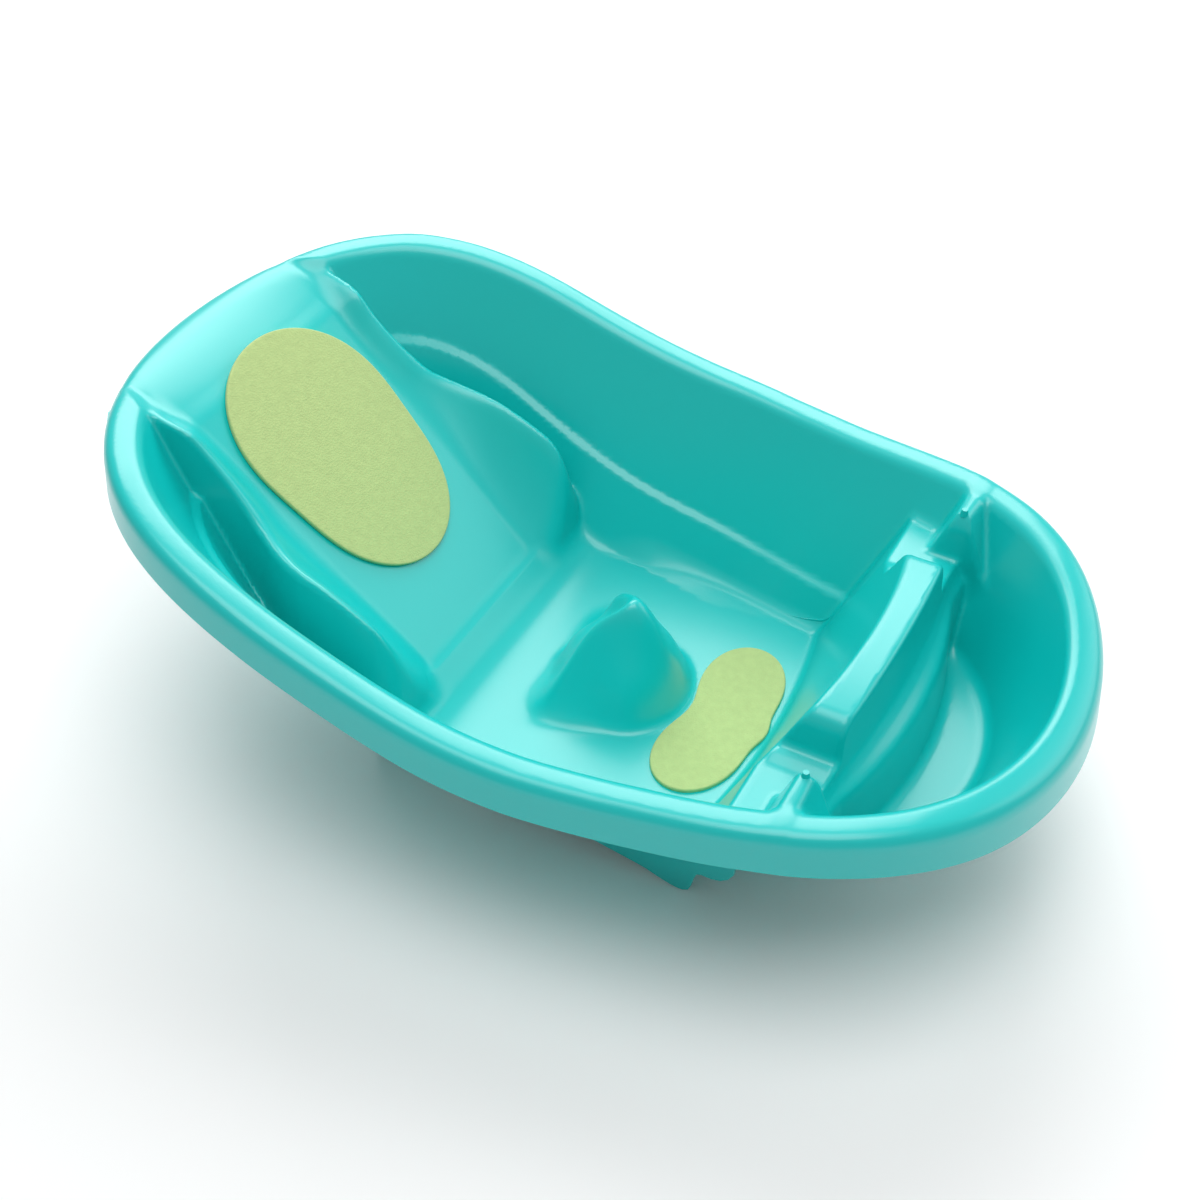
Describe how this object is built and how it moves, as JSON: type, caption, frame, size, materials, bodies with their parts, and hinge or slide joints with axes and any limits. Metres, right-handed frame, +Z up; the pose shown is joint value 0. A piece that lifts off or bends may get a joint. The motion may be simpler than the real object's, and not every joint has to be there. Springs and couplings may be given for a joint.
{
  "type": "baby bathtub",
  "caption": "Moulded baby bathtub with reclined infant backrest, seat bump, upright toddler end, rinse basin, stuck-on foam pads and a pull-out drain plug.",
  "frame": {"origin": "on the ground under the middle of the tub", "axes": "+X along the tub towards the basin end, +Y towards one long side, +Z up"},
  "size_m": [0.762, 0.4981, 0.2668],
  "materials": {
    "shell_plastic": "glossy injection-moulded polypropylene",
    "plug_rubber": "soft satin elastomer",
    "pad_foam": "closed-cell foam with a fine pebbled grain",
    "adhesive_film": "clear double-sided film"
  },
  "bodies": {
    "tub": {"tub_shell": "shell_plastic", "backrest_pad": "pad_foam", "backrest_pad_adhesive": "adhesive_film", "seat_pad": "pad_foam", "seat_pad_adhesive": "adhesive_film"},
    "plug": {"drain_plug": "plug_rubber"}
  },
  "joints": [
    {"name": "plug_pull", "type": "slide", "parent": "tub", "child": "plug", "axis": [0, 0, 1], "range_m": [0, 0.03]}
  ]
}
